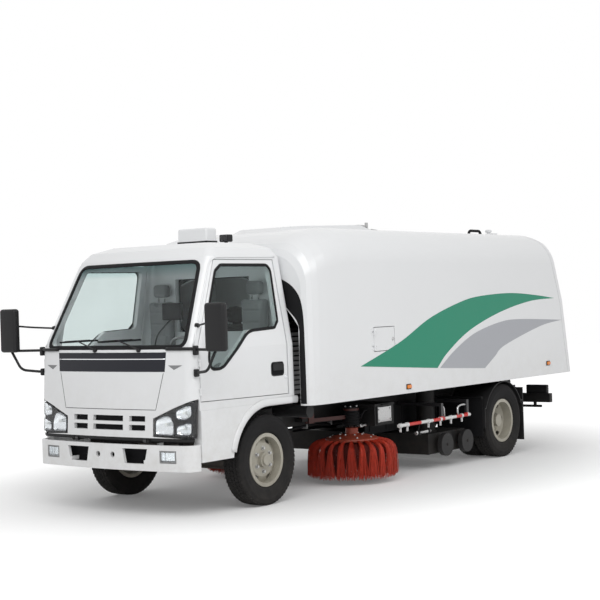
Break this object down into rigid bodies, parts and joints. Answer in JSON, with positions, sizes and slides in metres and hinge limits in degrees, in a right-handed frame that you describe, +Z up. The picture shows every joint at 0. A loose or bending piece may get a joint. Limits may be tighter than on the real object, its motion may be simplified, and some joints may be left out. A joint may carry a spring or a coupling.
{
  "type": "street sweeper truck",
  "caption": "Cab-over street sweeper truck with tilting cab, tipping hopper, lift-up tail door, swing-out side brushes and a lowering suction nozzle on rollers.",
  "frame": {"origin": "centre of the bounding box at ground level", "axes": "+X forward, +Y to the vehicle's left, +Z up"},
  "size_m": [6.3698, 2.55, 2.438],
  "materials": {
    "black_plastic": "grained",
    "dark_red": "satin",
    "frame_paint": "satin black coat",
    "glass": "tinted",
    "gloss_black": "gloss",
    "grey_paint": "satin grey coat",
    "grey_plastic": "grained",
    "iron": "cast",
    "lamp_clear": "clear lens",
    "lamp_red": "red lens",
    "red_bristle": "bristle",
    "red_white": "banded",
    "rim_paint": "silver coat",
    "seat_fabric": "woven",
    "tyre": "rubber",
    "white_paint": "gloss white coat"
  },
  "bodies": {
    "chassis": {"frame_rails": "frame_paint", "frame_crossmembers": "frame_paint", "front_axle_beam": "iron", "rear_axle": "iron", "leaf_springs": "frame_paint", "engine_block": "iron", "drive_shaft": "frame_paint", "front_bumper": "white_paint", "fog_lamps": "lamp_clear", "auxiliary_engine": "iron", "air_cleaner": "black_plastic", "battery_box": "grey_paint", "fuel_tank": "grey_paint", "side_guards": "red_white", "rear_mudguards": "black_plastic", "rear_underrun_bar": "frame_paint", "rear_lamps": "lamp_red"},
    "left_steering": {"left_knuckle": "iron"},
    "right_steering": {"right_knuckle": "iron"},
    "tie_rod": {"tie_rod": "frame_paint"},
    "front_left_wheel": {"front_left_wheel": "rim_paint", "front_left_tyre": "tyre"},
    "front_right_wheel": {"front_right_wheel": "rim_paint", "front_right_tyre": "tyre"},
    "rear_left_wheels": {"rear_left_wheels": "rim_paint", "rear_left_tyres": "tyre"},
    "rear_right_wheels": {"rear_right_wheels": "rim_paint", "rear_right_tyres": "tyre"},
    "cab": {"cab_shell": "white_paint", "cab_glass": "glass", "front_panel": "white_paint", "front_band": "gloss_black", "headlamps": "lamp_clear", "side_skirts": "white_paint", "mirrors": "black_plastic", "roof_sign": "white_paint", "seats": "seat_fabric", "dashboard": "grey_plastic", "steering_wheel": "grey_plastic"},
    "left_door": {"left_door": "white_paint", "left_door_glass": "glass"},
    "right_door": {"right_door": "white_paint", "right_door_glass": "glass"},
    "hopper": {"hopper_shell": "white_paint", "hopper_floor": "white_paint", "roof_cover": "white_paint"},
    "tail_door": {"tail_door": "white_paint"},
    "side_hatch": {"side_hatch": "white_paint"},
    "left_brush_bracket": {"left_brush_bracket": "dark_red"},
    "right_brush_bracket": {"right_brush_bracket": "dark_red"},
    "left_brush_arm": {"left_brush_arm": "dark_red"},
    "right_brush_arm": {"right_brush_arm": "dark_red"},
    "left_brush": {"left_brush": "red_bristle"},
    "right_brush": {"right_brush": "red_bristle"},
    "suction_nozzle": {"suction_nozzle": "grey_paint"},
    "nozzle_front_left_roller": {"nozzle_front_left_roller": "black_plastic"},
    "nozzle_front_right_roller": {"nozzle_front_right_roller": "black_plastic"},
    "nozzle_rear_left_roller": {"nozzle_rear_left_roller": "black_plastic"},
    "nozzle_rear_right_roller": {"nozzle_rear_right_roller": "black_plastic"}
  },
  "joints": [
    {"name": "steer_left", "type": "hinge", "parent": "chassis", "child": "left_steering", "pos_m": [2.145, 0.64, 0.38], "axis": [0, 0, 1], "range_deg": [-35, 35]},
    {"name": "steer_right", "type": "hinge", "parent": "chassis", "child": "right_steering", "pos_m": [2.145, -0.64, 0.38], "axis": [0, 0, 1], "range_deg": [-35, 35]},
    {"name": "tie_rod_swing", "type": "hinge", "parent": "left_steering", "child": "tie_rod", "pos_m": [1.98, 0.64, 0.282], "axis": [0, 0, 1], "range_deg": [-35, 35]},
    {"name": "front_left_spin", "type": "hinge", "parent": "left_steering", "child": "front_left_wheel", "pos_m": [2.145, 0.775, 0.38], "axis": [0, 1, 0], "continuous": true},
    {"name": "front_right_spin", "type": "hinge", "parent": "right_steering", "child": "front_right_wheel", "pos_m": [2.145, -0.775, 0.38], "axis": [0, 1, 0], "continuous": true},
    {"name": "rear_left_spin", "type": "hinge", "parent": "chassis", "child": "rear_left_wheels", "pos_m": [-1.67, 0.7875, 0.38], "axis": [0, 1, 0], "continuous": true},
    {"name": "rear_right_spin", "type": "hinge", "parent": "chassis", "child": "rear_right_wheels", "pos_m": [-1.67, -0.7875, 0.38], "axis": [0, 1, 0], "continuous": true},
    {"name": "cab_tilt", "type": "hinge", "parent": "chassis", "child": "cab", "pos_m": [3.11, 0, 0.618], "axis": [0, 1, 0], "range_deg": [0, 45]},
    {"name": "left_door_swing", "type": "hinge", "parent": "cab", "child": "left_door", "pos_m": [2.99, 0.885, 1.4], "axis": [0, 0, -1], "range_deg": [0, 70]},
    {"name": "right_door_swing", "type": "hinge", "parent": "cab", "child": "right_door", "pos_m": [2.99, -0.885, 1.4], "axis": [0, 0, 1], "range_deg": [0, 70]},
    {"name": "hopper_tip", "type": "hinge", "parent": "chassis", "child": "hopper", "pos_m": [-2.865, 0, 0.7], "axis": [0, -1, 0], "range_deg": [0, 45]},
    {"name": "tail_door_lift", "type": "hinge", "parent": "hopper", "child": "tail_door", "pos_m": [-2.555, 0, 2.37], "axis": [0, 1, 0], "range_deg": [0, 80]},
    {"name": "side_hatch_swing", "type": "hinge", "parent": "hopper", "child": "side_hatch", "pos_m": [0.757, 1.04, 1.3275], "axis": [0, 0, -1], "range_deg": [0, 100]},
    {"name": "left_brush_swing", "type": "hinge", "parent": "chassis", "child": "left_brush_bracket", "pos_m": [1.145, 0.48, 0.66], "axis": [0, 0, -1], "range_deg": [0, 28]},
    {"name": "left_brush_lower", "type": "hinge", "parent": "left_brush_bracket", "child": "left_brush_arm", "pos_m": [1.0525, 0.5015, 0.6], "axis": [-0.2267, -0.974, 0], "range_deg": [0, 3.5]},
    {"name": "left_brush_spin", "type": "hinge", "parent": "left_brush_arm", "child": "left_brush", "pos_m": [0.565, 0.615, 0.4], "axis": [0, 0, -1], "continuous": true},
    {"name": "right_brush_swing", "type": "hinge", "parent": "chassis", "child": "right_brush_bracket", "pos_m": [1.145, -0.48, 0.66], "axis": [0, 0, 1], "range_deg": [0, 28]},
    {"name": "right_brush_lower", "type": "hinge", "parent": "right_brush_bracket", "child": "right_brush_arm", "pos_m": [1.0525, -0.5015, 0.6], "axis": [0.2267, -0.974, 0], "range_deg": [0, 3.5]},
    {"name": "right_brush_spin", "type": "hinge", "parent": "right_brush_arm", "child": "right_brush", "pos_m": [0.565, -0.615, 0.4], "axis": [0, 0, 1], "continuous": true},
    {"name": "nozzle_lower", "type": "slide", "parent": "chassis", "child": "suction_nozzle", "axis": [0, 0, -1], "range_m": [0, 0.12]},
    {"name": "nozzle_front_left_roller_spin", "type": "hinge", "parent": "suction_nozzle", "child": "nozzle_front_left_roller", "pos_m": [-0.593, 0.93, 0.236], "axis": [0, 1, 0], "continuous": true},
    {"name": "nozzle_front_right_roller_spin", "type": "hinge", "parent": "suction_nozzle", "child": "nozzle_front_right_roller", "pos_m": [-0.593, -0.93, 0.236], "axis": [0, 1, 0], "continuous": true},
    {"name": "nozzle_rear_left_roller_spin", "type": "hinge", "parent": "suction_nozzle", "child": "nozzle_rear_left_roller", "pos_m": [-0.986, 0.93, 0.236], "axis": [0, 1, 0], "continuous": true},
    {"name": "nozzle_rear_right_roller_spin", "type": "hinge", "parent": "suction_nozzle", "child": "nozzle_rear_right_roller", "pos_m": [-0.986, -0.93, 0.236], "axis": [0, 1, 0], "continuous": true}
  ],
  "couplings": [
    {"joint": "steer_right", "follows": "steer_left", "ratio": 1},
    {"joint": "tie_rod_swing", "follows": "steer_left", "ratio": -1}
  ]
}
